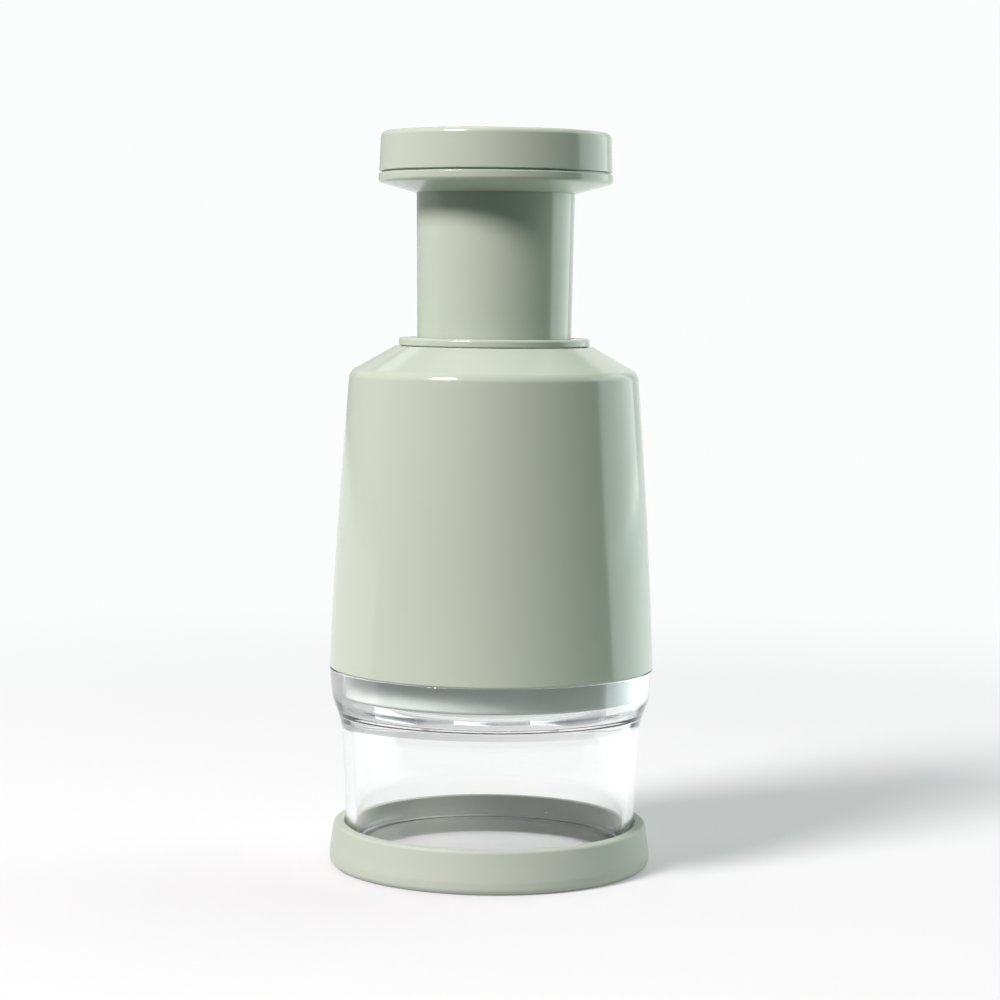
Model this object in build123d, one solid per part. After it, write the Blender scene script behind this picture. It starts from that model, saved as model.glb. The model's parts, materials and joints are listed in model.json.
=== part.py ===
from build123d import *
import math
import os

# Push-down food chopper. Millimetres, +Z up, origin on the axis at the foot of the base ring.

# Base ring that the cup stands in
BASE_HEIGHT = 13.4
BASE_RIM_WIDTH = 3.23
BASE_BELLY_OUT = 1.4
BASE_BELLY_HEIGHT = 4.6
BASE_FOOT_INSET = 0.7
BASE_LEDGE_HEIGHT = 4.4
BASE_LEDGE_WIDTH = 7.0
BASE_FOOT_ROUND = 1.0
BASE_BELLY_ROUND = 6.0
BASE_RIM_ROUND = 1.1
BASE_LIP_ROUND = 0.5

# Clear cup
CUP_HEIGHT = 58.4
CUP_FLOOR = 3.0
CUP_RIM_INSET = 0.1
CUP_SHOULDER_INSET = 0.82
CUP_SHOULDER_DROP = 9.2
CUP_WAIST_INSET = 3.87
CUP_WAIST_DROP = 17.9
CUP_TAPER = 2.13
CUP_STEP_TOP_DROP = 12.4
CUP_STEP_FOOT_DROP = 13.9
CUP_STEP_WALL = 3.43
CUP_FOOT_WALL = 3.0
CUP_FOOT_ROUND = 1.5
CUP_WAIST_ROUND = 14.0
CUP_SHOULDER_ROUND = 12.0
CUP_RIM_ROUND = 0.4
CUP_STEP_ROUND = 0.8
CUP_FLOOR_ROUND = 3.0

# Casing: bowed wall, sloping shoulder, neck and screw posts
CASING_FOOT_RADIUS = 51.1
CASING_TAPER = 5.9
CASING_BOW = 0.5
CASING_WALL = 2.4
CASING_CORNER_ROUND = 3.4
CASING_SHOULDER_SLOPE = 0.566
NECK_EDGE = 1.0
NECK_LAND = 3.5
NECK_LAND_WIDTH = 1.6
NECK_LIP_WIDTH = 1.2
POST_RADIUS = 3.6
POST_COUNT = 3

# Neck collar and the lock ring under it
COLLAR_WIDTH = 4.85
COLLAR_THICKNESS = 2.45
COLLAR_ROUND = 0.9
COLLAR_SHANK_WALL = 2.4
COLLAR_SHADOW_GAP = 0.15
LOCK_RING_WIDTH = 3.1
LOCK_RING_HEIGHT = 1.8

# Skirt in the cup's mouth, wiper plate and its retainer
SKIRT_INSET = 5.4
SKIRT_DROP = 8.45
SKIRT_COLLAR_HEIGHT = 12.0
SKIRT_WALL = 2.8
SKIRT_LIP_WIDTH = 2.6
SKIRT_LIP_HEIGHT = 1.2
SKIRT_FOOT_ROUND = 1.1
WIPER_THICKNESS = 2.0
RETAINER_WIDTH = 3.0
RETAINER_HEIGHT = 2.0

# Zigzag blade, its carrier and the screw that holds it
BLADE_SHOW = 3.35
BLADE_SWING_SHARE = 0.389
BLADE_FOLDS = 6
TURN_DEGREES = 45.0
BLADE_THICKNESS = 0.8
BLADE_EDGE_THICKNESS = 0.15
BLADE_EDGE_HEIGHT = 2.0
BLADE_SEAT_DEPTH = 2.4
CARRIER_THICKNESS = 4.0
CARRIER_SCREW_RADIUS = 1.75
CARRIER_SCREW_HEAD_RADIUS = 3.3
CARRIER_SCREW_REACH = 10.0

# Guide frame: disc, tower with twisted slots, bush
FRAME_THICKNESS = 3.5
TOWER_WALL = 3.0
TOWER_HEAD = 2.5
BUSH_WALL = 2.8
BUSH_HEIGHT = 6.5

# Blade shaft with its shoulder, pin, washer and clip
SHAFT_RADIUS = 4.0
SHOULDER_WIDTH = 2.5
SHOULDER_HEIGHT = 2.0
PIN_RADIUS = 1.5
THRUST_WASHER_WIDTH = 3.6
THRUST_WASHER_THICKNESS = 1.0
CLIP_WIDTH = 2.6
CLIP_THICKNESS = 1.0
CLIP_GROOVE_DEPTH = 0.8
CLIP_GAP_WIDTH = 5.0
SHAFT_TIP = 1.0

# Return spring and the washer that it stands on
SPRING_WIRE_RADIUS = 0.9
SPRING_TURNS = 12
SPRING_WASHER_EDGE = 2.5
SPRING_WASHER_THICKNESS = 0.8

# Plunger sleeve, its stop ring and its screw bosses
SLEEVE_TAPER = 0.7
SLEEVE_WALL = 2.3
STOP_RING_WIDTH = 2.8
STOP_RING_HEIGHT = 2.5
STOP_RING_SEAT_DEPTH = 0.9
SLEEVE_BOSS_RADIUS = 3.1
SLEEVE_BOSS_HEIGHT = 12.0
SLEEVE_BOSS_SINK = 0.6

# Knob: flared base and cap
KNOB_OVERHANG = 11.9
KNOB_FLARE_RISE = 3.25
KNOB_RIM_HEIGHT = 2.8
KNOB_RIM_ROUND = 1.2
KNOB_DECK = 3.5
KNOB_SPRING_POCKET_DEPTH = 1.7
KNOB_SPIGOT_INSET = 2.8
KNOB_SPIGOT_WIDTH = 2.0
KNOB_SPIGOT_HEIGHT = 4.0
KNOB_SEAM = 0.5
KNOB_SEAM_DEPTH = 1.0
CAP_HEIGHT = 12.3
CAP_TOP = 2.6
CAP_INSET = 0.2
CAP_DRAFT = 0.5
CAP_EDGE_ROUND = 0.4
CAP_ROUND = 1.7
CAP_LEDGE_WIDTH = 1.4

# Small screws: three in the frame, three in the knob
SCREW_RADIUS = 1.5
SCREW_HEAD_RADIUS = 2.8
SCREW_HEAD_HEIGHT = 1.9
SCREW_REACH = 8.0

# Clearances
PRESS_FIT = 0.05
SNUG_FIT = 0.15
RUNNING_FIT = 0.1
SLIDING_FIT = 0.35
BASE_CUP_GAP = 0.6
CUP_SKIRT_GAP = 1.2
BLADE_FLOOR_GAP = 0.3
BLADE_WALL_GAP = 6.7
BLADE_SLOT_GAP = 0.3
WIPER_RIM_GAP = 0.3
WIPER_TOP_GAP = 0.3
CARRIER_WIPER_GAP = 0.4
CARRIER_RING_GAP = 0.55
CARRIER_FRAME_GAP = 0.5
FRAME_WALL_GAP = 0.4
SLEEVE_FRAME_GAP = 0.5
STOP_GAP = 0.3
LOCK_RING_STEP = 0.2
LOCK_RING_GAP = 0.5
PIN_SLOT_GAP = 0.3
PIN_BUSH_GAP = 0.5
PIN_END_GAP = 0.4
TOWER_BUSH_STEP = 1.1
SPRING_TOWER_GAP = 1.7
SPRING_POCKET_GAP = 0.7
SPRING_BOSS_GAP = 2.3
KNOB_COLLAR_GAP = 0.45
CAP_SEAT_GAP = 0.1
CLIP_GAP = 0.3
HEAD_RECESS = 0.3
HOLE_FIT = 0.2

# Radii of the plunger, from the shaft outwards
SHAFT_BORE_RADIUS = SHAFT_RADIUS + RUNNING_FIT
BUSH_RADIUS = SHAFT_BORE_RADIUS + BUSH_WALL
TOWER_BORE_RADIUS = BUSH_RADIUS + TOWER_BUSH_STEP
TOWER_RADIUS = TOWER_BORE_RADIUS + TOWER_WALL
SPRING_RADIUS = TOWER_RADIUS + SPRING_TOWER_GAP + SPRING_WIRE_RADIUS
SPRING_OUTER_RADIUS = SPRING_RADIUS + SPRING_WIRE_RADIUS
SLEEVE_BOSS_REACH = 2 * SLEEVE_BOSS_RADIUS - SLEEVE_BOSS_SINK
SLEEVE_TOP_RADIUS = SPRING_OUTER_RADIUS + SPRING_BOSS_GAP + SLEEVE_BOSS_REACH + SLEEVE_WALL
SLEEVE_FOOT_RADIUS = SLEEVE_TOP_RADIUS - SLEEVE_TAPER
STOP_RING_SEAT_RADIUS = SLEEVE_FOOT_RADIUS - STOP_RING_SEAT_DEPTH
STOP_RING_RADIUS = SLEEVE_FOOT_RADIUS + STOP_RING_WIDTH
KNOB_RADIUS = SLEEVE_TOP_RADIUS + KNOB_OVERHANG
SPIGOT_RADIUS = KNOB_RADIUS - KNOB_SPIGOT_INSET
COLLAR_BORE_RADIUS = SLEEVE_TOP_RADIUS + SLIDING_FIT
COLLAR_RADIUS = COLLAR_BORE_RADIUS + COLLAR_WIDTH
SHANK_RADIUS = COLLAR_BORE_RADIUS + COLLAR_SHANK_WALL
LOCK_RING_BORE_RADIUS = SHANK_RADIUS + PRESS_FIT
LOCK_RING_RADIUS = LOCK_RING_BORE_RADIUS + LOCK_RING_WIDTH
NECK_BORE_RADIUS = SHANK_RADIUS + SNUG_FIT
CASING_NECK_RADIUS = COLLAR_RADIUS + NECK_EDGE

# Radii of the cup, the base and what works in the cup, from the casing's foot inwards
CASING_SHOULDER_RADIUS = CASING_FOOT_RADIUS - CASING_TAPER
SKIRT_RADIUS = CASING_FOOT_RADIUS - SKIRT_INSET
SKIRT_BORE_RADIUS = SKIRT_RADIUS - SKIRT_WALL
WIPER_RADIUS = SKIRT_BORE_RADIUS - WIPER_RIM_GAP
RETAINER_RADIUS = SKIRT_BORE_RADIUS - PRESS_FIT
CARRIER_RADIUS = RETAINER_RADIUS - RETAINER_WIDTH - CARRIER_RING_GAP
CUP_MOUTH_RADIUS = SKIRT_RADIUS + CUP_SKIRT_GAP
CUP_RIM_RADIUS = CASING_FOOT_RADIUS - CUP_RIM_INSET
CUP_SHOULDER_RADIUS = CUP_RIM_RADIUS - CUP_SHOULDER_INSET
CUP_WAIST_RADIUS = CUP_RIM_RADIUS - CUP_WAIST_INSET
CUP_FOOT_RADIUS = CUP_WAIST_RADIUS - CUP_TAPER
CUP_STEP_RADIUS = CUP_WAIST_RADIUS - CUP_STEP_WALL
CUP_FLOOR_RADIUS = CUP_FOOT_RADIUS - CUP_FOOT_WALL
BLADE_REACH = CUP_FLOOR_RADIUS - BLADE_WALL_GAP
BLADE_SWING = BLADE_REACH * BLADE_SWING_SHARE

# Heights, from the table upwards
Z_CUP_FOOT = BASE_LEDGE_HEIGHT
Z_FLOOR = Z_CUP_FOOT + CUP_FLOOR
Z_RIM = Z_CUP_FOOT + CUP_HEIGHT
Z_SKIRT_FOOT = Z_RIM - SKIRT_DROP
Z_WIPER = Z_SKIRT_FOOT + SKIRT_LIP_HEIGHT
Z_WIPER_TOP = Z_WIPER + WIPER_THICKNESS
Z_BLADE = Z_WIPER - BLADE_SHOW
STROKE = Z_BLADE - Z_FLOOR - BLADE_FLOOR_GAP
Z_CARRIER = Z_WIPER_TOP + CARRIER_WIPER_GAP + STROKE
Z_CARRIER_TOP = Z_CARRIER + CARRIER_THICKNESS
Z_FRAME = Z_CARRIER_TOP + CARRIER_FRAME_GAP
Z_FRAME_TOP = Z_FRAME + FRAME_THICKNESS
Z_BUSH_TOP = Z_FRAME + BUSH_HEIGHT
Z_SLOT_FOOT = Z_BUSH_TOP + PIN_BUSH_GAP
Z_PIN = Z_SLOT_FOOT + PIN_SLOT_GAP + PIN_RADIUS + STROKE
Z_TOWER_TOP = Z_PIN + TOWER_HEAD
Z_SLEEVE_FOOT = Z_FRAME_TOP + SLEEVE_FRAME_GAP + STROKE
Z_STOP_TOP = Z_SLEEVE_FOOT + STOP_RING_HEIGHT
Z_SHANK_FOOT = Z_STOP_TOP + STOP_GAP
Z_LOCK_RING = Z_SHANK_FOOT + LOCK_RING_STEP
Z_LAND = Z_LOCK_RING + LOCK_RING_HEIGHT
Z_NECK_LIP = Z_LAND + NECK_LAND
Z_NECK = Z_NECK_LIP - COLLAR_SHADOW_GAP
Z_SHOULDER = Z_NECK - CASING_SHOULDER_SLOPE * (CASING_SHOULDER_RADIUS - CASING_NECK_RADIUS)
Z_COLLAR_TOP = Z_NECK_LIP + COLLAR_THICKNESS
Z_SLEEVE_TOP = Z_COLLAR_TOP + STROKE + KNOB_COLLAR_GAP
Z_KNOB_RIM = Z_SLEEVE_TOP + KNOB_FLARE_RISE
Z_KNOB_RIM_TOP = Z_KNOB_RIM + KNOB_RIM_HEIGHT
Z_DECK = Z_SLEEVE_TOP + KNOB_SPRING_POCKET_DEPTH
Z_DECK_TOP = Z_DECK + KNOB_DECK
Z_SPIGOT_TOP = Z_KNOB_RIM_TOP + KNOB_SPIGOT_HEIGHT
Z_CAP = Z_KNOB_RIM_TOP + KNOB_SEAM
Z_TOP = Z_CAP + CAP_HEIGHT
Z_WASHER = Z_DECK - THRUST_WASHER_THICKNESS
Z_CLIP = Z_DECK_TOP + CLIP_GAP
Z_SPRING_SEAT = Z_FRAME_TOP + SPRING_WASHER_THICKNESS
TURN_PER_MM = TURN_DEGREES / STROKE


def turned(*corners, rounds=None):
    """Solid of revolution from (radius, height) corners, each with its own rounding if any is given."""
    points = [(radius, 0, height) for radius, height in corners]
    if rounds is None:
        outline = Polyline(*points, close=True)
    else:
        outline = FilletPolyline(*points, radius=rounds, close=True)
    return revolve(make_face(outline), Axis.Z)


def ring(inner, outer, low, high):
    """Plain ring about the axis."""
    return turned((inner, low), (outer, low), (outer, high), (inner, high))


def disc(radius, low, high, centre=(0, 0)):
    """Upright cylinder between two heights."""
    place = Pos(centre[0], centre[1], low)
    return place * Cylinder(radius, high - low, align=(Align.CENTER, Align.CENTER, Align.MIN))


def around(pitch_radius, count):
    """Centres spaced evenly on a circle, the first one at the back."""
    turns = [math.radians(90 + 360 * i / count) for i in range(count)]
    return [(pitch_radius * math.cos(turn), pitch_radius * math.sin(turn)) for turn in turns]


def zigzag(width, overrun=0.0):
    """Outline of the folded strip, seen from above, as long as the blade plus an overrun at both ends."""
    step = 2 * BLADE_REACH / BLADE_FOLDS
    slope = 2 * BLADE_SWING / step
    line = []
    for i in range(BLADE_FOLDS + 1):
        line.append((-BLADE_REACH + i * step, BLADE_SWING if i % 2 else -BLADE_SWING))
    last = 1 if BLADE_FOLDS % 2 else -1
    line[0] = (-BLADE_REACH - overrun, -BLADE_SWING - slope * overrun)
    line[-1] = (BLADE_REACH + overrun, last * (BLADE_SWING + slope * overrun))
    shift = width / 2 * math.hypot(1, slope)
    return [(x, y + shift) for x, y in line] + [(x, y - shift) for x, y in reversed(line)]


def zigzag_face(width, height, overrun=0.0):
    """Flat face of the folded strip at one height."""
    return make_face(Polyline(*[(x, y, height) for x, y in zigzag(width, overrun)], close=True))


def zigzag_prism(width, low, high, overrun=0.0):
    """Folded strip between two heights."""
    return extrude(zigzag_face(width, low, overrun), amount=high - low, dir=(0, 0, 1))


def cup_radius(height):
    """Outer radius of the cup's straight lower wall."""
    waist = Z_RIM - CUP_WAIST_DROP
    share = (height - Z_CUP_FOOT) / (waist - Z_CUP_FOOT)
    return CUP_FOOT_RADIUS + (CUP_WAIST_RADIUS - CUP_FOOT_RADIUS) * share


def casing_radius(height):
    """Outer radius of the casing's bowed wall."""
    share = (height - Z_RIM) / (Z_SHOULDER - Z_RIM)
    chord = CASING_FOOT_RADIUS + (CASING_SHOULDER_RADIUS - CASING_FOOT_RADIUS) * share
    return chord + 4 * CASING_BOW * share * (1 - share)


def sleeve_radius(height):
    """Outer radius of the tapered plunger sleeve."""
    share = (height - Z_SLEEVE_FOOT) / (Z_SLEEVE_TOP - Z_SLEEVE_FOOT)
    return SLEEVE_FOOT_RADIUS + (SLEEVE_TOP_RADIUS - SLEEVE_FOOT_RADIUS) * share


def frame_radius():
    """Outer radius of the guide frame's disc."""
    return casing_radius(Z_FRAME_TOP) - CASING_WALL - FRAME_WALL_GAP


def post_centres():
    """Centres of the casing's screw posts, midway between the lock ring and the frame's rim."""
    return around((LOCK_RING_RADIUS + frame_radius()) / 2, POST_COUNT)


def sleeve_boss_centres():
    """Centres of the sleeve's screw bosses, which sink a little into its wall."""
    bore = sleeve_radius(Z_SLEEVE_TOP - SLEEVE_BOSS_HEIGHT) - SLEEVE_WALL
    return around(bore - SLEEVE_BOSS_RADIUS + SLEEVE_BOSS_SINK, POST_COUNT)


def non_slip_base():
    """Soft ring with a ledge that carries the cup and a rim that keeps it centred."""
    lip = cup_radius(BASE_HEIGHT) + BASE_CUP_GAP
    rim = lip + BASE_RIM_WIDTH
    belly = rim + BASE_BELLY_OUT
    bore = CUP_FOOT_RADIUS - BASE_LEDGE_WIDTH
    return turned(
        (bore, 0),
        (belly - BASE_FOOT_INSET, 0),
        (belly, BASE_BELLY_HEIGHT),
        (rim, BASE_HEIGHT),
        (lip, BASE_HEIGHT),
        (lip, BASE_LEDGE_HEIGHT),
        (bore, BASE_LEDGE_HEIGHT),
        rounds=[0, BASE_FOOT_ROUND, BASE_BELLY_ROUND, BASE_RIM_ROUND, BASE_LIP_ROUND, 0, 0],
    )


def chopping_cup():
    """Clear cup with a floor, a waisted outside and a stepped mouth for the skirt."""
    return turned(
        (0, Z_CUP_FOOT),
        (CUP_FOOT_RADIUS, Z_CUP_FOOT),
        (CUP_WAIST_RADIUS, Z_RIM - CUP_WAIST_DROP),
        (CUP_SHOULDER_RADIUS, Z_RIM - CUP_SHOULDER_DROP),
        (CUP_RIM_RADIUS, Z_RIM),
        (CUP_MOUTH_RADIUS, Z_RIM),
        (CUP_MOUTH_RADIUS, Z_RIM - CUP_STEP_TOP_DROP),
        (CUP_STEP_RADIUS, Z_RIM - CUP_STEP_FOOT_DROP),
        (CUP_FLOOR_RADIUS, Z_FLOOR),
        (0, Z_FLOOR),
        rounds=[0, CUP_FOOT_ROUND, CUP_WAIST_ROUND, CUP_SHOULDER_ROUND, CUP_RIM_ROUND, CUP_RIM_ROUND]
        + [CUP_STEP_ROUND, CUP_STEP_ROUND, CUP_FLOOR_ROUND, 0],
    )


def casing_form(inset):
    """Filled form of the casing, drawn in by an inset on its wall and its shoulder."""
    drop = inset * math.hypot(1, CASING_SHOULDER_SLOPE)
    foot = (CASING_FOOT_RADIUS - inset, 0, Z_RIM)
    middle_height = (Z_RIM + Z_SHOULDER) / 2
    middle = (casing_radius(middle_height) - inset, 0, middle_height)
    corner = (CASING_SHOULDER_RADIUS - inset, 0, Z_SHOULDER + CASING_SHOULDER_SLOPE * inset - drop)
    neck = (CASING_NECK_RADIUS, 0, Z_NECK - drop)
    wall = ThreePointArc(foot, middle, corner)
    rest = Polyline(corner, neck, (0, 0, Z_NECK - drop), (0, 0, Z_RIM), foot)
    face = make_face([wall, rest])
    bend = face.vertices().sort_by_distance(corner)[0]
    return revolve(fillet(bend, CASING_CORNER_ROUND - inset / 2), Axis.Z)


def outer_casing():
    """Open shell with a stiff neck, a lip for the collar and three posts that the frame is screwed to."""
    form = casing_form(0)
    core = casing_form(CASING_WALL / 2)
    casing = form - casing_form(CASING_WALL)
    casing += disc(CASING_NECK_RADIUS + NECK_LAND_WIDTH, Z_LAND, Z_NECK) & form
    casing += disc(NECK_BORE_RADIUS + NECK_LIP_WIDTH, Z_LAND, Z_NECK_LIP)
    for centre in post_centres():
        casing += disc(POST_RADIUS, Z_FRAME_TOP, Z_NECK, centre) & core
        casing -= disc(SCREW_RADIUS + PRESS_FIT, Z_FRAME_TOP, Z_FRAME_TOP + SCREW_REACH, centre)
    casing -= disc(LOCK_RING_RADIUS + LOCK_RING_GAP, Z_FRAME_TOP, Z_LAND)
    return casing - disc(NECK_BORE_RADIUS, Z_LAND, Z_NECK_LIP)


def neck_collar():
    """Ring with a shank: the sleeve slides through it."""
    return turned(
        (COLLAR_BORE_RADIUS, Z_SHANK_FOOT),
        (SHANK_RADIUS, Z_SHANK_FOOT),
        (SHANK_RADIUS, Z_NECK_LIP),
        (COLLAR_RADIUS, Z_NECK_LIP),
        (COLLAR_RADIUS, Z_COLLAR_TOP),
        (COLLAR_BORE_RADIUS, Z_COLLAR_TOP),
        rounds=[0, 0, 0, COLLAR_ROUND / 2, COLLAR_ROUND, COLLAR_ROUND / 2],
    )


def collar_lock_ring():
    """Ring pressed on the collar's shank, under the neck's land."""
    return ring(LOCK_RING_BORE_RADIUS, LOCK_RING_RADIUS, Z_LOCK_RING, Z_LAND)


def lower_skirt():
    """Ring in the casing's foot that reaches into the cup's mouth and carries the wiper plate."""
    top = Z_RIM + SKIRT_COLLAR_HEIGHT
    inset = CASING_WALL + SNUG_FIT
    lip = SKIRT_BORE_RADIUS - SKIRT_LIP_WIDTH
    return turned(
        (SKIRT_BORE_RADIUS, top),
        (casing_radius(top) - inset, top),
        (casing_radius(Z_RIM) - inset, Z_RIM),
        (SKIRT_RADIUS, Z_RIM),
        (SKIRT_RADIUS, Z_SKIRT_FOOT),
        (lip, Z_SKIRT_FOOT),
        (lip, Z_WIPER),
        (SKIRT_BORE_RADIUS, Z_WIPER),
        rounds=[0, 0, 0, 0, SKIRT_FOOT_ROUND, 0, 0, 0],
    )


def wiper_plate():
    """Plate with a zigzag slot; it turns in the skirt with the blade."""
    slot = zigzag_prism(BLADE_THICKNESS + 2 * BLADE_SLOT_GAP, Z_WIPER, Z_WIPER_TOP, BLADE_SLOT_GAP)
    return disc(WIPER_RADIUS, Z_WIPER, Z_WIPER_TOP) - slot


def wiper_retainer():
    """Ring pressed into the skirt above the wiper plate."""
    low = Z_WIPER_TOP + WIPER_TOP_GAP
    return ring(RETAINER_RADIUS - RETAINER_WIDTH, RETAINER_RADIUS, low, low + RETAINER_HEIGHT)


def guide_frame():
    """Disc across the casing with a tower whose two twisted slots turn the cross pin."""
    frame = disc(frame_radius(), Z_FRAME, Z_FRAME_TOP)
    frame += disc(TOWER_RADIUS, Z_FRAME, Z_TOWER_TOP)
    frame -= disc(BUSH_RADIUS + PRESS_FIT, Z_FRAME, Z_BUSH_TOP)
    frame -= disc(TOWER_BORE_RADIUS, Z_BUSH_TOP, Z_TOWER_TOP)
    for centre in post_centres():
        frame -= disc(SCREW_RADIUS + HOLE_FIT, Z_FRAME, Z_FRAME_TOP, centre)
        recess = SCREW_HEAD_HEIGHT + HEAD_RECESS
        frame -= disc(SCREW_HEAD_RADIUS + HOLE_FIT, Z_FRAME, Z_FRAME + recess, centre)
    height = Z_TOWER_TOP - Z_SLOT_FOOT
    width = 2 * (PIN_RADIUS + PIN_SLOT_GAP)
    section = Rectangle(4 * TOWER_RADIUS, width).face()
    section = Pos(0, 0, Z_SLOT_FOOT) * Rot(0, 0, TURN_PER_MM * (Z_PIN - Z_SLOT_FOOT)) * section
    slots = Solid.extrude_linear_with_rotation(
        section, (0, 0, Z_SLOT_FOOT), (0, 0, height), -TURN_PER_MM * height
    )
    return frame - slots


def shaft_bush():
    """Plain bush that guides the shaft in the frame."""
    return ring(SHAFT_BORE_RADIUS, BUSH_RADIUS, Z_FRAME, Z_BUSH_TOP)


def pan_screw(centre, head, direction, reach):
    """Small screw whose head starts at one height and whose shank runs up (1) or down (-1)."""
    heights = sorted((head, head - direction * SCREW_HEAD_HEIGHT))
    shank = sorted((head, head + direction * reach))
    return disc(SCREW_HEAD_RADIUS, *heights, centre) + disc(SCREW_RADIUS, *shank, centre)


def frame_screws():
    """Three screws from below, with heads sunk in the frame's disc."""
    head = Z_FRAME + SCREW_HEAD_HEIGHT + HEAD_RECESS
    reach = Z_FRAME_TOP - head + SCREW_REACH - HEAD_RECESS
    screws = [pan_screw(centre, head, 1, reach) for centre in post_centres()]
    return Compound(children=screws)


def spring_washer():
    """Flat washer under the return spring."""
    outer = SPRING_OUTER_RADIUS + SPRING_WASHER_EDGE
    return ring(TOWER_RADIUS + HOLE_FIT, outer, Z_FRAME_TOP, Z_SPRING_SEAT)


def coil_path(radius, low, high, turns):
    """Helix as a chain of tangent arcs, two for each quarter turn."""
    rise = (high - low) / (2 * math.pi * turns)

    def point(turn):
        return Vector(radius * math.cos(turn), radius * math.sin(turn), low + rise * turn)

    def heading(turn):
        return Vector(-radius * math.sin(turn), radius * math.cos(turn), rise).normalized()

    arcs = []
    for i in range(4 * turns):
        start, end = point(i * math.pi / 2), point((i + 1) * math.pi / 2)
        out, into = heading(i * math.pi / 2), heading((i + 1) * math.pi / 2)
        chord = end - start
        along = chord.dot(out + into)
        spread = 2 * (1 - out.dot(into))
        reach = (math.sqrt(along * along + spread * chord.dot(chord)) - along) / spread
        joint = (start + end + (out - into) * reach) * 0.5
        arcs.append(TangentArc(start, joint, tangent=out))
        arcs.append(TangentArc(joint, end, tangent=(end - into * reach) - (start + out * reach)))
    return Wire(arcs)


def return_spring():
    """Open coil spring between the washer and the knob's deck."""
    low = Z_SPRING_SEAT + SPRING_WIRE_RADIUS
    high = Z_DECK - SPRING_WIRE_RADIUS
    path = coil_path(SPRING_RADIUS, low, high, SPRING_TURNS)
    end = Plane(origin=path @ 0, z_dir=path % 0)
    return sweep(end * Circle(SPRING_WIRE_RADIUS), path)


def spring_gap(samples_per_turn=36):
    """Least clear gap between neighbouring coils, measured on points of the path."""
    path = coil_path(SPRING_RADIUS, Z_SPRING_SEAT, Z_DECK - 2 * SPRING_WIRE_RADIUS, SPRING_TURNS)
    count = samples_per_turn * SPRING_TURNS
    points = [path @ (i / count) for i in range(count + 1)]
    apart = samples_per_turn // 2
    gaps = [(points[j] - points[i]).length for i in range(count) for j in range(i + apart, count + 1)]
    return min(gaps) - 2 * SPRING_WIRE_RADIUS


def plunger_sleeve():
    """Tapered tube with a seat for the stop ring and three screw bosses under the knob."""
    seat = STOP_RING_SEAT_RADIUS
    sleeve = turned(
        (sleeve_radius(Z_SLEEVE_FOOT) - SLEEVE_WALL, Z_SLEEVE_FOOT),
        (seat, Z_SLEEVE_FOOT),
        (seat, Z_STOP_TOP),
        (sleeve_radius(Z_STOP_TOP), Z_STOP_TOP),
        (SLEEVE_TOP_RADIUS, Z_SLEEVE_TOP),
        (SLEEVE_TOP_RADIUS - SLEEVE_WALL, Z_SLEEVE_TOP),
    )
    limit = disc(SLEEVE_TOP_RADIUS - SLEEVE_WALL / 2, Z_SLEEVE_FOOT, Z_SLEEVE_TOP)
    for centre in sleeve_boss_centres():
        sleeve += disc(SLEEVE_BOSS_RADIUS, Z_SLEEVE_TOP - SLEEVE_BOSS_HEIGHT, Z_SLEEVE_TOP, centre) & limit
        sleeve -= disc(SCREW_RADIUS + PRESS_FIT, Z_SLEEVE_TOP - SCREW_REACH, Z_SLEEVE_TOP, centre)
    return sleeve


def sleeve_stop_ring():
    """Ring at the sleeve's foot that meets the collar's shank."""
    return ring(STOP_RING_SEAT_RADIUS + PRESS_FIT, STOP_RING_RADIUS, Z_SLEEVE_FOOT, Z_STOP_TOP)


def knob_base():
    """Flared flange on the sleeve, with a deck for the shaft, and a seat and a spigot for the cap."""
    spigot_inner = SPIGOT_RADIUS - KNOB_SPIGOT_WIDTH
    seat = KNOB_RADIUS - KNOB_SEAM_DEPTH
    pocket = SPRING_OUTER_RADIUS + SPRING_POCKET_GAP
    base = turned(
        (SHAFT_BORE_RADIUS, Z_DECK),
        (pocket, Z_DECK),
        (pocket, Z_SLEEVE_TOP),
        (SLEEVE_TOP_RADIUS, Z_SLEEVE_TOP),
        (KNOB_RADIUS, Z_KNOB_RIM),
        (KNOB_RADIUS, Z_KNOB_RIM_TOP),
        (seat, Z_KNOB_RIM_TOP),
        (seat, Z_CAP - CAP_SEAT_GAP),
        (SPIGOT_RADIUS, Z_CAP - CAP_SEAT_GAP),
        (SPIGOT_RADIUS, Z_SPIGOT_TOP),
        (spigot_inner, Z_SPIGOT_TOP),
        (spigot_inner, Z_DECK_TOP),
        (SHAFT_BORE_RADIUS, Z_DECK_TOP),
        rounds=[0, 0, 0, 0, KNOB_RIM_ROUND, CAP_EDGE_ROUND, 0, 0, 0, 0, 0, 0, 0],
    )
    for centre in sleeve_boss_centres():
        base -= disc(SCREW_RADIUS + HOLE_FIT, Z_SLEEVE_TOP, Z_DECK_TOP, centre)
    return base


def knob_screws():
    """Three screws from above, through the deck into the sleeve's bosses."""
    reach = Z_DECK_TOP - Z_SLEEVE_TOP + SCREW_REACH - HEAD_RECESS
    return Compound(children=[pan_screw(centre, Z_DECK_TOP, -1, reach) for centre in sleeve_boss_centres()])


def knob_cap():
    """Drafted cap that sits on the spigot and stops short of the flange, which leaves the seam."""
    foot = KNOB_RADIUS - CAP_INSET
    bore = SPIGOT_RADIUS + SNUG_FIT
    inner = SPIGOT_RADIUS - CAP_LEDGE_WIDTH
    return turned(
        (0, Z_TOP - CAP_TOP),
        (inner, Z_TOP - CAP_TOP),
        (inner, Z_SPIGOT_TOP),
        (bore, Z_SPIGOT_TOP),
        (bore, Z_CAP),
        (foot, Z_CAP),
        (foot - CAP_DRAFT, Z_TOP),
        (0, Z_TOP),
        rounds=[0, 0, 0, 0, 0, CAP_EDGE_ROUND, CAP_ROUND, 0],
    )


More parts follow.
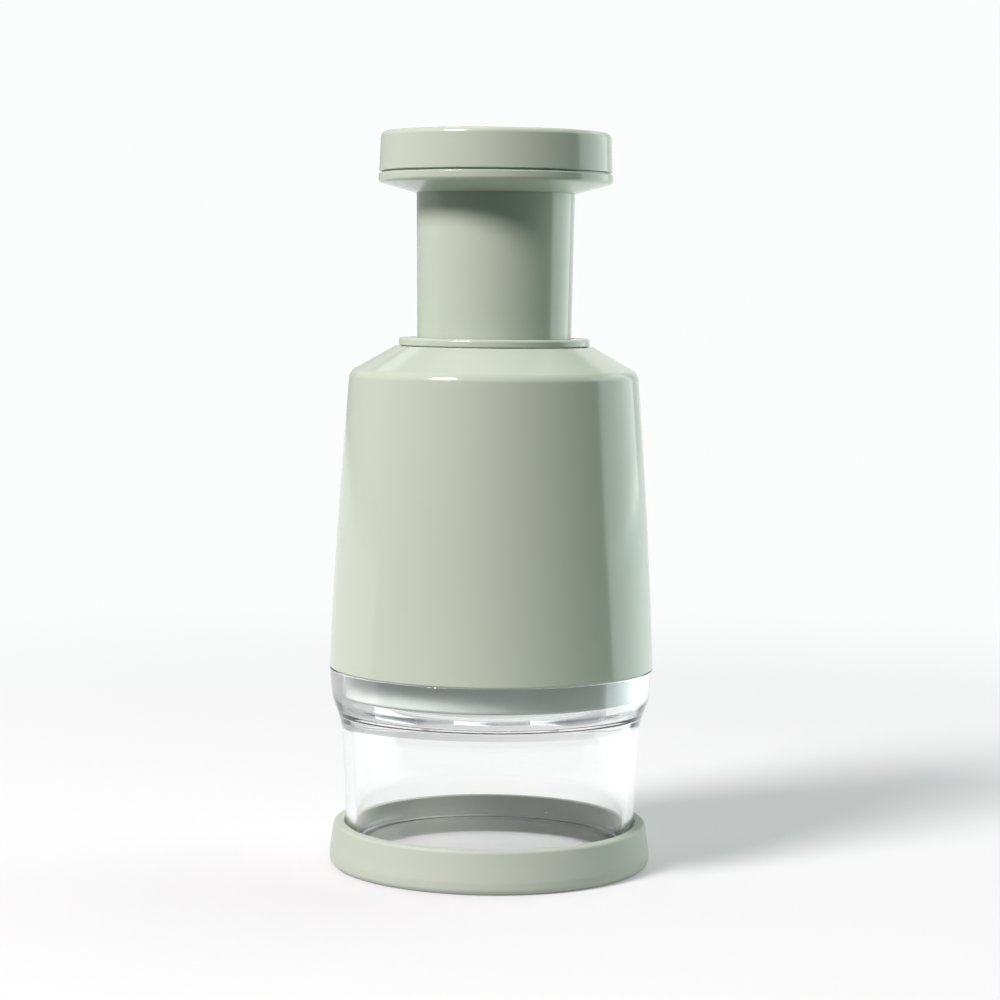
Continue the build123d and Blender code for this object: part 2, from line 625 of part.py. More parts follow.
def blade_shaft():
    """Round shaft with a thrust shoulder, a clip groove, a cross hole and a tapped foot."""
    shoulder_foot = Z_WASHER - SHOULDER_HEIGHT
    top = Z_CLIP + CLIP_THICKNESS + SHAFT_TIP
    shaft = disc(SHAFT_RADIUS, Z_CARRIER_TOP, top)
    shaft += disc(SHAFT_RADIUS + SHOULDER_WIDTH, shoulder_foot, Z_WASHER)
    groove = SHAFT_RADIUS - CLIP_GROOVE_DEPTH
    shaft -= ring(groove, SHAFT_RADIUS + CLIP_WIDTH, Z_CLIP, Z_CLIP + CLIP_THICKNESS)
    shaft -= cross_bar(PIN_RADIUS + PRESS_FIT)
    thread_top = Z_CARRIER_TOP + CARRIER_SCREW_REACH
    return shaft - disc(CARRIER_SCREW_RADIUS + PRESS_FIT, Z_CARRIER_TOP, thread_top)


def cross_bar(radius):
    """Bar across the shaft and the tower, along X."""
    return Pos(0, 0, Z_PIN) * Rot(0, 90, 0) * Cylinder(radius, 2 * (TOWER_RADIUS - PIN_END_GAP))


def cross_pin():
    """Pin through the shaft; its ends run in the tower's slots."""
    return cross_bar(PIN_RADIUS)


def thrust_washer():
    """Washer between the shaft's shoulder and the knob's deck."""
    return ring(SHAFT_BORE_RADIUS, SHAFT_RADIUS + THRUST_WASHER_WIDTH, Z_WASHER, Z_DECK)


def shaft_clip():
    """Open clip in the shaft's groove, above the deck."""
    bore = SHAFT_RADIUS - CLIP_GROOVE_DEPTH + PRESS_FIT
    outer = SHAFT_RADIUS + CLIP_WIDTH
    clip = ring(bore, outer, Z_CLIP, Z_CLIP + CLIP_THICKNESS)
    mouth = Box(outer, CLIP_GAP_WIDTH, CLIP_THICKNESS, align=(Align.MIN, Align.CENTER, Align.MIN))
    return clip - Pos(0, 0, Z_CLIP) * mouth


def carrier_cone(gap):
    """Sunk head and shank of the carrier's screw, widened by a gap."""
    head = CARRIER_SCREW_HEAD_RADIUS + gap
    shank = CARRIER_SCREW_RADIUS + gap
    top = Z_CARRIER_TOP + CARRIER_SCREW_REACH - HEAD_RECESS
    return turned(
        (0, Z_CARRIER),
        (head, Z_CARRIER),
        (shank, Z_CARRIER + head - shank),
        (shank, top),
        (0, top),
    )


def blade_carrier():
    """Disc that holds the blade's upper edge in a zigzag groove."""
    width = BLADE_THICKNESS + 2 * PRESS_FIT
    groove = zigzag_prism(width, Z_CARRIER, Z_CARRIER + BLADE_SEAT_DEPTH, PRESS_FIT)
    return disc(CARRIER_RADIUS, Z_CARRIER, Z_CARRIER_TOP) - groove - carrier_cone(PRESS_FIT)


def carrier_screw():
    """Sunk screw that holds the carrier to the shaft."""
    return carrier_cone(0)


def zigzag_blade():
    """Folded steel strip with a ground lower edge."""
    shoulder = Z_BLADE + BLADE_EDGE_HEIGHT
    body = zigzag_prism(BLADE_THICKNESS, shoulder, Z_CARRIER + BLADE_SEAT_DEPTH)
    edge = loft(
        [zigzag_face(BLADE_EDGE_THICKNESS, Z_BLADE), zigzag_face(BLADE_THICKNESS, shoulder)],
        ruled=True,
    )
    return body + edge


PIECES = [
    non_slip_base,
    chopping_cup,
    outer_casing,
    neck_collar,
    collar_lock_ring,
    lower_skirt,
    wiper_retainer,
    wiper_plate,
    guide_frame,
    shaft_bush,
    frame_screws,
    spring_washer,
    return_spring,
    plunger_sleeve,
    sleeve_stop_ring,
    knob_base,
    knob_screws,
    knob_cap,
    blade_shaft,
    cross_pin,
    thrust_washer,
    shaft_clip,
    blade_carrier,
    carrier_screw,
    zigzag_blade,
]

os.makedirs("parts", exist_ok=True)
for piece in PIECES:
    export_step(piece(), f"parts/{piece.__name__}.step")
print(f"height {Z_TOP:.2f} mm, blade edge {Z_BLADE:.2f} mm, least gap between coils {spring_gap():.2f} mm")
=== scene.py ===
"""Looks of a push-down food chopper: finished pieces, materials and a studio around its CAD frame."""

import json
import math

import bmesh
import bpy
from bpy.props import FloatProperty, FloatVectorProperty, IntProperty, PointerProperty
from mathutils import Euler, Matrix, Vector


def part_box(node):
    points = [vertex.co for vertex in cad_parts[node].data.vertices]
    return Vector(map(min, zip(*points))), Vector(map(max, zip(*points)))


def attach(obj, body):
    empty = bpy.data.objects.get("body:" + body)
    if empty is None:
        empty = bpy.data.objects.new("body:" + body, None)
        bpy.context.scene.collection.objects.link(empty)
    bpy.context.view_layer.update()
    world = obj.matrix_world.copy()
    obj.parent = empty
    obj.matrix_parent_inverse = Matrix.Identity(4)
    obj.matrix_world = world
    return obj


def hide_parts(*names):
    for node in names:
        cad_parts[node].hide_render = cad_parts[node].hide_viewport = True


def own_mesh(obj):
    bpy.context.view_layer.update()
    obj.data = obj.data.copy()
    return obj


bl_info = {
    "name": "Food Chopper",
    "version": (1, 0, 0),
    "blender": (4, 5, 0),
    "location": "3D View > Sidebar > Chopper",
    "description": "Builds the finished pieces, materials and studio of a push-down food chopper",
    "category": "Object",
}

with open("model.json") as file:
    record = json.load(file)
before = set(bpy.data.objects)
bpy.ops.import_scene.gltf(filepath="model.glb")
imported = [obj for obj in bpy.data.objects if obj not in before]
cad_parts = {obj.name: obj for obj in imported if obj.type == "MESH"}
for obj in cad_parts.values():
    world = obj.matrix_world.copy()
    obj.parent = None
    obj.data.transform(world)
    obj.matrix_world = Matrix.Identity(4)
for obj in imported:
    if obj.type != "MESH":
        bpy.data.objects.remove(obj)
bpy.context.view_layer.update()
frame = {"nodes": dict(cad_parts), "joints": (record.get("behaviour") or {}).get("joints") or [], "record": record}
MM = 0.001
SCREW_HEAD = 2.8  # radius of the screws' heads, in millimetres
SCREW_BORE = 1.55  # radius of the holes that the screws go into, in millimetres
GROUND_EDGE = 2.0 * MM  # height of the blade's ground edge


def radius_of(node):
    """Outer radius of a turned CAD node, in metres."""
    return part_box(node)[1].x


def length(name, description, default):
    """Length property in metres."""
    return FloatProperty(
        name=name, description=description, default=default, unit="LENGTH", precision=5, min=0.0
    )


def colour(name, description, default):
    """Colour property."""
    return FloatVectorProperty(
        name=name, description=description, default=default, subtype="COLOR", size=3, min=0.0, max=1.0
    )


def angle(name, description, degrees):
    """Angle property, given in degrees."""
    return FloatProperty(name=name, description=description, default=math.radians(degrees), subtype="ANGLE")


def power(name, description, watts):
    """Lamp power property in watts."""
    return FloatProperty(name=name, description=description, default=watts, unit="POWER", min=0.0)


class ChopperSizes(bpy.types.PropertyGroup):
    """Sizes of the pieces."""

    turn_steps: IntProperty(
        name="Turning steps", description="Facets round each turned piece", default=288, min=24, max=512
    )
    base_radius: length("Base radius", "Widest radius of the base ring", radius_of("non_slip_base"))
    base_groove: length("Base grooves", "Depth of the gripping grooves under the base ring", 0.6 * MM)
    cup_radius: length("Cup radius", "Radius of the cup's rim", radius_of("chopping_cup"))
    cup_wall: length("Cup wall", "Thickness of the cup's lower wall at its foot", 3.0 * MM)
    casing_radius: length("Casing radius", "Radius of the casing's foot", radius_of("outer_casing"))
    casing_taper: length(
        "Casing taper", "How much narrower the casing's shoulder is than its foot", 5.9 * MM
    )
    casing_bow: length("Casing bow", "How far the casing's wall swells between foot and shoulder", 0.5 * MM)
    casing_wall: length("Casing wall", "Thickness of the casing's wall", 2.4 * MM)
    casing_corner: length("Casing corner", "Rounding of the casing's shoulder", 3.4 * MM)
    casing_edge: length("Casing edge", "Rounding of the casing's foot", 0.6 * MM)
    collar_radius: length("Collar radius", "Radius of the neck collar", radius_of("neck_collar"))
    skirt_radius: length(
        "Skirt radius", "Radius of the skirt in the cup's mouth", radius_of("wiper_plate") + 3.1 * MM
    )
    sleeve_radius: length(
        "Sleeve radius", "Radius of the plunger sleeve under the knob", radius_of("plunger_sleeve")
    )
    knob_radius: length("Knob radius", "Radius of the knob's flange", radius_of("knob_base"))
    knob_round: length("Knob round", "Rounding of the knob's upper edge", 1.7 * MM)
    knob_draft: length("Knob draft", "How much narrower the knob's cap is at its top", 0.5 * MM)
    seam_depth: length(
        "Seam depth", "Depth of the dark seam between the knob's flange and its cap", 1.0 * MM
    )
    blade_reach: length("Blade reach", "Half length of the zigzag blade", radius_of("zigzag_blade"))
    blade_swing: length(
        "Blade swing",
        "How far each fold of the blade goes to either side",
        0.389 * radius_of("zigzag_blade"),
    )
    blade_thickness: length("Blade thickness", "Thickness of the blade strip", 0.8 * MM)
    blade_bend: length("Blade bend", "Rounding of the blade's folds", 0.9 * MM)
    wire_radius: length("Spring wire", "Radius of the spring's wire", 0.9 * MM)
    spring_turns: IntProperty(
        name="Spring turns", description="Open turns of the spring", default=10, min=2, max=30
    )


class ChopperColours(bpy.types.PropertyGroup):
    """Colours of the finishes."""

    gloss_sage: colour("Gloss sage", "Casing, collar, sleeve and knob", (0.472, 0.545, 0.438))
    # pale_sage is partly the skirt's own paler colour and partly painted light: it is lifted to make up for light
    # that reaches the skirt through the clear cup.
    pale_sage: colour("Pale sage", "Skirt in the cup's mouth", (0.640, 0.712, 0.662))
    soft_sage: colour("Soft sage", "Base ring", (0.415, 0.467, 0.392))
    clear_plastic: colour("Clear plastic", "Tint of the cup", (0.995, 0.999, 0.998))
    inner_plastic: colour("Inner plastic", "Guide frame, bush and rings", (0.740, 0.745, 0.715))
    wiper_plastic: colour("Wiper plastic", "Wiper plate and blade carrier", (0.780, 0.800, 0.770))
    plain_steel: colour("Plain steel", "Shaft, pin, washers and screws", (0.560, 0.570, 0.590))
    spring_steel: colour("Spring steel", "Return spring and clip", (0.400, 0.410, 0.430))
    blade_steel: colour("Blade steel", "Zigzag blade", (0.640, 0.650, 0.665))


class ChopperStudio(bpy.types.PropertyGroup):
    """Camera, lamps and floor."""

    lens: FloatProperty(
        name="Lens", description="Focal length in millimetres", default=98.0, unit="CAMERA", min=20.0
    )
    back: length("Camera distance", "How far the camera stands from the axis", 854.5 * MM)
    eye: length("Eye height", "Height of the camera above the floor", 183.7 * MM)
    aside: length("Camera offset", "How far the camera stands to the right of the axis", 2.3 * MM)
    pitch: angle("Pitch", "How far the camera looks down", 4.58)
    roll: angle("Roll", "How far the camera leans to the left", 0.6)
    lamp_distance: length("Lamp distance", "Distance of the lamps from the object", 3.0)
    key_power: power("Key power", "Power of the key lamp, to the left of the camera", 125.0)
    key_azimuth: angle("Key azimuth", "Angle of the key lamp to the left of the camera", 48.0)
    key_elevation: angle("Key elevation", "Height of the key lamp above the horizon", 43.5)
    key_size: length("Key size", "Width of the key lamp's round soft box", 0.95)
    key_colour: colour("Key colour", "Colour of the key lamp", (1.0, 0.91, 0.945))
    top_power: power("Top power", "Power of the lamp above the object", 10.0)
    rim_power: power("Rim power", "Power of the wide lamp on the right, behind the object", 38.0)
    kicker_power: power("Kicker power", "Power of the small lamp on the left, behind the object", 0.6)
    fill_colour: colour("Fill colour", "Colour of the top, rim and kicker lamps", (0.88, 1.0, 1.0))
    # Painted light: a patch of floor behind on the right glows at this strength, only for rays that light the
    # object or mirror in it.
    panel_strength: FloatProperty(
        name="Panel strength",
        description="Brightness of the floor under the rim lamp",
        default=2.3,
        min=0.0,
    )
    room_colour: colour("Room colour", "Dark room in front of the object", (0.10, 0.12, 0.115))
    surround: colour("Surround", "White that the camera sees behind the object", (0.966, 0.982, 0.974))
    floor_colour: colour("Floor colour", "Colour of the floor", (0.655, 0.67, 0.665))
    bounce_colour: colour(
        "Bounce colour", "Floor behind the object, as it lights the object", (0.75, 0.76, 0.76)
    )
    front_colour: colour(
        "Front colour", "Floor in front of the object, as it lights the object", (0.64, 0.66, 0.65)
    )


class Field:
    """Output of a node that takes part in Python arithmetic."""

    def __init__(self, nodes, socket):
        self.nodes = nodes
        self.socket = socket

    def _math(self, operation, first, second):
        return self.nodes.add("ShaderNodeMath", {"operation": operation}, {0: first, 1: second})

    def __add__(self, other):
        return self._math("ADD", self, other)

    def __radd__(self, other):
        return self._math("ADD", other, self)

    def __sub__(self, other):
        return self._math("SUBTRACT", self, other)

    def __rsub__(self, other):
        return self._math("SUBTRACT", other, self)

    def __mul__(self, other):
        return self._math("MULTIPLY", self, other)

    def __rmul__(self, other):
        return self._math("MULTIPLY", other, self)

    def __truediv__(self, other):
        return self._math("DIVIDE", self, other)

    def at_least(self, other):
        return self._math("MAXIMUM", self, other)

    def at_most(self, other):
        return self._math("MINIMUM", self, other)

    def between(self, low, high):
        """0 below low, 1 above high, smooth between them."""
        sockets = {"Value": self, "From Min": low, "From Max": high}
        return self.nodes.add("ShaderNodeMapRange", {"interpolation_type": "SMOOTHSTEP"}, sockets)


class Nodes:
    """Node tree of one material or world."""

    def __init__(self, owner):
        owner.use_nodes = True
        self.tree = owner.node_tree
        self.tree.nodes.clear()

    def add(self, kind, settings=None, sockets=None, output=0):
        """Makes any node: its settings first, then the values or links of its sockets."""
        node = self.tree.nodes.new(kind)
        for name, value in (settings or {}).items():
            setattr(node, name, value)
        for name, value in (sockets or {}).items():
            if isinstance(value, Field):
                self.tree.links.new(value.socket, node.inputs[name])
            else:
                node.inputs[name].default_value = value
        return Field(self, node.outputs[output]) if node.outputs else node

    def place(self, scale=(1, 1, 1), turn=(0, 0, 0)):
        """Object coordinates, stretched and turned."""
        coordinates = self.add("ShaderNodeTexCoord", output="Object")
        return self.add("ShaderNodeMapping", {}, {"Vector": coordinates, "Scale": scale, "Rotation": turn})

    def noise(self, scale, detail=2.0, roughness=0.5, where=None):
        """Even noise from 0 to 1, at so many waves per metre."""
        where = where or self.place()
        sockets = {"Vector": where, "Scale": scale, "Detail": detail, "Roughness": roughness}
        return self.add("ShaderNodeTexNoise", {}, sockets)

    def part(self, vector, axis):
        """X, Y or Z of a vector."""
        return self.add("ShaderNodeSeparateXYZ", {}, {0: vector}, axis)

    def blend(self, factor, first, second):
        """Colour that goes from first to second with the factor."""
        return self.add("ShaderNodeMix", {"data_type": "RGBA"}, {0: factor, 6: first, 7: second}, 2)

    def bump(self, height, strength, distance):
        """Normal of a surface with so much relief."""
        sockets = {"Height": height, "Strength": strength, "Distance": distance}
        return self.add("ShaderNodeBump", {}, sockets)

    def principled(self, **sockets):
        """Principled shader; underscores in names stand for spaces."""
        sockets = {name.replace("_", " "): value for name, value in sockets.items()}
        return self.add("ShaderNodeBsdfPrincipled", {}, sockets)

    def mix(self, factor, first, second):
        """Shader that goes from first to second with the factor."""
        return self.add("ShaderNodeMixShader", {}, {0: factor, 1: first, 2: second})

    def ray(self, kind):
        """1 for one kind of light ray, 0 for the others."""
        return self.add("ShaderNodeLightPath", output=f"Is {kind} Ray")

    def mirror_ray(self):
        """1 for rays that left the camera by mirrors and clear walls only."""
        scattered = self.add("ShaderNodeLightPath", output="Diffuse Depth").at_most(1.0)
        return self.ray("Glossy").at_least(self.ray("Transmission")) * (1.0 - scattered)

    def surface(self, shader):
        """Makes the shader the material's surface."""
        self.add("ShaderNodeOutputMaterial", {}, {"Surface": shader})


def shade(tint, level):
    """Colour scaled by a level, with alpha."""
    return (*[min(1.0, part * level) for part in tint], 1.0)


def gloss_plastic(nodes, tint, gloss, peel):
    """Moulded glossy plastic: faint flow clouds, orange peel and fine handling marks."""
    clouds = nodes.noise(14.0, 3.0)
    streaks = nodes.noise(90.0, 4.0, 0.6, nodes.place((1.0, 1.0, 0.12)))
    marks = nodes.noise(240.0, 5.0, 0.65, nodes.place((1.0, 0.3, 1.4), (0.5, 0.3, 0.7))).between(0.62, 0.72)
    grain = nodes.noise(620.0, 2.0)
    shader = nodes.principled(
        Base_Color=nodes.blend(clouds * 0.7 + streaks * 0.3, shade(tint, 0.97), shade(tint, 1.03)),
        Roughness=gloss + clouds * 0.03 + marks * 0.05,
        IOR=1.5,
        Normal=nodes.bump(grain + streaks * 0.6, peel, 0.00012),
    )
    nodes.surface(shader)


def gloss_sage(nodes, tint):
    gloss_plastic(nodes, tint, 0.09, 0.035)


# Skirt finish: its colour is partly lifted as painted light, standing in for light that comes through the clear
# cup.
def pale_sage(nodes, tint):
    gloss_plastic(nodes, tint, 0.12, 0.05)


def soft_sage(nodes, tint):
    """Soft-touch rubber: fine sparked grain, dull patches and paler dust."""
    clouds = nodes.noise(22.0, 3.0)
    grain = nodes.noise(2600.0, 2.0)
    dust = nodes.noise(1100.0, 4.0, 0.7).between(0.66, 0.78)
    body = nodes.blend(clouds, shade(tint, 0.96), shade(tint, 1.04))
    shader = nodes.principled(
        Base_Color=nodes.blend(dust * 0.25, body, shade(tint, 1.18)),
        Roughness=0.52 + clouds * 0.1 + dust * 0.1,
        IOR=1.45,
        Sheen_Weight=0.08,
        Sheen_Roughness=0.4,
        Normal=nodes.bump(grain + clouds * 0.3, 0.16, 0.00008),
    )
    nodes.surface(shader)


def clear_plastic(nodes, tint):
    """Clear polished plastic with a breath of smears; lamps shine through it with a pale shadow."""
    let_through = 0.74
    smears = nodes.noise(45.0, 4.0, 0.6, nodes.place((1.0, 1.0, 0.4))).between(0.55, 0.8)
    flow = nodes.noise(60.0, 1.0)
    wall = nodes.principled(
        Base_Color=shade(tint, 1.0),
        Roughness=0.004 + smears * 0.03,
        IOR=1.5,
        Transmission_Weight=1.0,
        Normal=nodes.bump(flow, 0.02, 0.0002),
    )
    pale_shadow = nodes.add("ShaderNodeBsdfTransparent", {}, {"Color": shade(tint, let_through)})
    nodes.surface(nodes.mix(nodes.ray("Shadow"), wall, pale_shadow))


def matt_plastic(nodes, tint, roughness):
    """Plain moulded plastic with spark-eroded grain."""
    clouds = nodes.noise(30.0, 3.0)
    grain = nodes.noise(1800.0, 3.0)
    shader = nodes.principled(
        Base_Color=nodes.blend(clouds * 0.8 + grain * 0.2, shade(tint, 0.94), shade(tint, 1.05)),
        Roughness=roughness + clouds * 0.1,
        IOR=1.48,
        Normal=nodes.bump(grain, 0.2, 0.00006),
    )
    nodes.surface(shader)


def inner_plastic(nodes, tint):
    matt_plastic(nodes, tint, 0.42)


def wiper_plastic(nodes, tint):
    matt_plastic(nodes, tint, 0.34)


def steel(nodes, tint, roughness, stretch):
    """Steel with fine lines along one direction and dull clouds."""
    lines = nodes.noise(900.0, 4.0, 0.6, nodes.place(stretch))
    clouds = nodes.noise(60.0, 3.0)
    shader = nodes.principled(
        Base_Color=nodes.blend(lines * 0.6 + clouds * 0.4, shade(tint, 0.86), shade(tint, 1.1)),
        Metallic=1.0,
        Roughness=roughness + lines * 0.14 + clouds * 0.05,
        Normal=nodes.bump(lines, 0.1, 0.00005),
    )
    nodes.surface(shader)


def plain_steel(nodes, tint):
    steel(nodes, tint, 0.22, (0.08, 0.08, 3.0))


def spring_steel(nodes, tint):
    steel(nodes, tint, 0.26, (1.0, 1.0, 1.0))


def blade_steel(nodes, tint):
    """Stainless strip, rolled along its length, with a bright ground edge at its foot."""
    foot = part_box("zigzag_blade")[0].z
    height = nodes.part(nodes.place(), "Z") - foot
    ground = 1.0 - height.between(0.95 * GROUND_EDGE, 1.05 * GROUND_EDGE)
    rolled = nodes.noise(1400.0, 4.0, 0.6, nodes.place((0.06, 0.06, 1.0)))
    scratches = nodes.noise(1600.0, 3.0, 0.6, nodes.place((1.0, 1.0, 0.05)))
    lines = rolled * (1.0 - ground) + scratches * ground
    body = nodes.blend(rolled, shade(tint, 0.88), shade(tint, 1.08))
    shader = nodes.principled(
        Base_Color=nodes.blend(ground * 0.6, body, shade(tint, 1.25)),
        Metallic=1.0,
        Roughness=0.2 + lines * 0.16 - ground * 0.06,
        Normal=nodes.bump(lines, 0.08, 0.00005),
    )
    nodes.surface(shader)


FINISHES = {
    "gloss_sage": gloss_sage,
    "pale_sage": pale_sage,
    "soft_sage": soft_sage,
    "clear_plastic": clear_plastic,
    "inner_plastic": inner_plastic,
    "wiper_plastic": wiper_plastic,
    "plain_steel": plain_steel,
    "spring_steel": spring_steel,
    "blade_steel": blade_steel,
}


def finish(slot):
    """Material of one of the record's slots, made when it is first asked for."""
    material = bpy.data.materials.get("finish_" + slot)
    if material is None:
        material = bpy.data.materials.new("finish_" + slot)
        FINISHES[slot](Nodes(material), getattr(bpy.context.scene.chopper_colours, slot))
    return material


def profile(corners, closed=True):
    """Bmesh with a wire through (radius, height, rounding) corners, in millimetres.

    Each corner with a rounding is bevelled to it, large ones in finer steps.
    """
    fine, coarse, large = 6, 18, 0.7
    bm = bmesh.new()
    points = [Vector((r, 0.0, z)) * MM for r, z, *_ in corners]
    verts = [bm.verts.new(p) for p in points]
    ends = verts[1:] + verts[:1] if closed else verts[1:]
    for pair in zip(verts, ends):
        bm.edges.new(pair)
    for i, corner in enumerate(corners):
        if len(corner) > 2:
            before = points[i] - points[i - 1]
            after = points[(i + 1) % len(points)] - points[i]
            bend = before.angle(after)
            step = fine if corner[2] > large else coarse
            bmesh.ops.bevel(
                bm,
                geom=[verts[i]],
                offset=corner[2] * MM * math.tan(bend / 2),
                offset_type="OFFSET",
                segments=max(2, math.ceil(math.degrees(bend) / step)),
                profile=0.5,
                affect="VERTICES",
                material=-1,
            )
    return bm


def clean(bm):
    """Merges doubles, turns faces outwards and marks the sharp edges."""
    sharp = math.radians(32)
    bmesh.ops.remove_doubles(bm, verts=bm.verts, dist=1e-6)
    bmesh.ops.dissolve_degenerate(bm, edges=bm.edges, dist=1e-7)
    bmesh.ops.recalc_face_normals(bm, faces=bm.faces)
    for face in bm.faces:
        face.smooth = True
    for edge in bm.edges:
        if edge.is_manifold and edge.calc_face_angle() > sharp:
            edge.smooth = False


def turn(bm, steps):
    """Spins a wire profile all the way round the axis."""
    bmesh.ops.spin(
        bm,
        geom=bm.verts[:] + bm.edges[:],
        cent=(0, 0, 0),
        axis=(0, 0, 1),
        angle=math.tau,
        steps=steps,
        use_merge=True,
    )
    clean(bm)


def tube(inner, outer, low, high, centre, edge=0.3, steps=48):
    """Bmesh of a small upright tube with softened edges, in millimetres."""
    bm = profile([(inner, low), (outer, low, edge), (outer, high, edge), (inner, high)])
    turn(bm, steps)
    bmesh.ops.translate(bm, verts=bm.verts, vec=Vector((*centre, 0.0)) * MM)
    return bm


def join(bm, *others):
    """Adds other bmeshes to the first."""
    for other in others:
        mesh = bpy.data.meshes.new("part")
        other.to_mesh(mesh)
        other.free()
        bm.from_mesh(mesh)
        bpy.data.meshes.remove(mesh)


def add_piece(bm, name, body, slot, *nodes):
    """Puts a finished bmesh in the scene, on its body and in place of its CAD nodes."""
    mesh = bpy.data.meshes.new(name)
    bm.to_mesh(mesh)
    bm.free()
    mesh.materials.append(finish(slot))
    piece = bpy.data.objects.new(name, mesh)
    bpy.context.scene.collection.objects.link(piece)
    even = piece.modifiers.new("even_shading", "WEIGHTED_NORMAL")
    even.mode = "FACE_AREA"
    even.weight = 50
    even.keep_sharp = True
    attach(piece, body)
    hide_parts(*nodes)
    return piece


def heights(node):
    """Lowest and highest point of a CAD node, in millimetres."""
    low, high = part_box(node)
    return low.z / MM, high.z / MM


def around(pitch, count=3):
    """Centres spaced evenly on a circle, the first one at the back."""
    turns = [math.radians(90 + 360 * i / count) for i in range(count)]
    return [(pitch * math.cos(a), pitch * math.sin(a)) for a in turns]


def screw_pitch(node):
    """Pitch radius of three like screws, from the box of their node, in millimetres."""
    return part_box(node)[1].y / MM - SCREW_HEAD


class CHOPPER_OT_base_ring(bpy.types.Operator):
    """Soft ring that the cup stands in, with gripping grooves under its foot"""

    bl_idname = "chopper.base_ring"
    bl_label = "Base ring"

    def execute(self, context):
        sizes = context.scene.chopper_sizes
        widest = sizes.base_radius / MM
        groove = sizes.base_groove / MM
        foot, top = heights("non_slip_base")
        ledge = heights("chopping_cup")[0]
        rim_width, ledge_width = 4.56, 8.07
        groove_count, first_groove, groove_pitch = 3, -4.0, 2.8
        half_mouth, half_floor = 0.7, 0.4
        lip = widest - rim_width
        opening = lip - ledge_width
        corners = [(opening, foot, 0.4)]
        for i in range(groove_count):
            middle = lip + first_groove + i * groove_pitch
            corners += [
                (middle - half_mouth, foot, 0.2),
                (middle - half_floor, foot + groove, 0.2),
                (middle + half_floor, foot + groove, 0.2),
                (middle + half_mouth, foot, 0.2),
            ]
        corners += [
            (widest - 0.15, foot, 2.2),
            (widest + 0.03, foot + 3.8, 5.0),
            (widest - 1.33, top, 1.1),
            (lip, top, 0.25),
            (lip, ledge, 0.6),
            (opening, ledge, 0.4),
        ]
        bm = profile(corners)
        turn(bm, sizes.turn_steps)
        add_piece(bm, "soft_base_ring", "base", "soft_sage", "non_slip_base")
        return {"FINISHED"}


class CHOPPER_OT_cup(bpy.types.Operator):
    """Clear cup with a stepped mouth"""

    bl_idname = "chopper.cup"
    bl_label = "Clear cup"

    def execute(self, context):
        sizes = context.scene.chopper_sizes
        edge_loss, room, floor_thickness = 0.037, 0.04, 2.96
        rim = sizes.cup_radius / MM + edge_loss
        foot, top = heights("chopping_cup")
        foot += room
        top -= room
        floor = foot + floor_thickness
        outside, mouth = rim - 6.0, rim - 4.1
        inside = outside - sizes.cup_wall / MM
        bm = profile(
            [
                (0.0, foot),
                (outside, foot, 1.5),
                (rim - 3.87, top - 17.9, 14.0),
                (rim - 0.82, top - 9.2, 12.0),
                (rim, top, 0.4),
                (mouth, top, 0.4),
                (mouth, top - 12.95, 0.5),
                (rim - 7.3, top - 13.9, 0.6),
                (inside, floor, 3.0),
                (0.0, floor),
            ],
            closed=False,
        )
        turn(bm, sizes.turn_steps)
        add_piece(bm, "clear_cup", "cup", "clear_plastic", "chopping_cup")
        return {"FINISHED"}


class CHOPPER_OT_casing(bpy.types.Operator):
    """Tall casing with a bowed wall, a sloping shoulder, a neck and three screw posts inside"""

    bl_idname = "chopper.casing"
    bl_label = "Casing"

    def execute(self, context):
        sizes = context.scene.chopper_sizes
        foot, lip = heights("outer_casing")
        widest, wall = sizes.casing_radius / MM, sizes.casing_wall / MM
        taper, bow = sizes.casing_taper / MM, sizes.casing_bow / MM
        slope, neck_edge, neck_wall, lip_width, lip_height = 0.566, 1.0, 3.3, 1.2, 0.15
        land_depth, undercut, steps = 3.5, 1.6, 14
        post_radius, post_lift = 3.6, 3.5
        neck = sizes.collar_radius / MM + neck_edge
        bore = neck - neck_wall
        neck_top = lip - lip_height
        shoulder = neck_top - slope * (widest - taper - neck)

        def wall_points(inset, up):
            """Points of the bowed wall between foot and shoulder."""
            shares = [i / steps for i in range(1, steps)]
            points = []
            for share in shares if up else reversed(shares):
                swell = 4 * bow * share * (1 - share)
                points.append((widest - taper * share + swell - inset, foot + (shoulder - foot) * share))
            return points

        drop = wall * math.hypot(1, slope)
        land = lip - land_depth
        inner_corner = shoulder + slope * wall - drop
        corners = [(widest - wall, foot, 0.25), (widest, foot, sizes.casing_edge / MM)]
        corners += wall_points(0.0, True)
        corners += [
            (widest - taper, shoulder, sizes.casing_corner / MM),
            (neck, neck_top, 0.5),
            (bore + lip_width, neck_top, 0.15),
            (bore + lip_width, lip, 0.2),
            (bore, lip, 0.2),
            (bore, land, 0.2),
            (neck + undercut, land),
            (neck + undercut, neck_top - drop - slope * undercut),
            (widest - taper - wall, inner_corner, 2.0),
        ]
        corners += wall_points(wall, False)
        bm = profile(corners)
        turn(bm, sizes.turn_steps)
        low = heights("guide_frame")[0] + post_lift
        posts = []
        for centre in around(screw_pitch("frame_screws")):
            reach = math.hypot(*centre) + post_radius
            high = neck_top - slope * (reach - neck) - drop / 2
            posts.append(tube(SCREW_BORE, post_radius, low, high, centre))
        join(bm, *posts)
        add_piece(bm, "bowed_casing", "housing", "gloss_sage", "outer_casing")
        return {"FINISHED"}


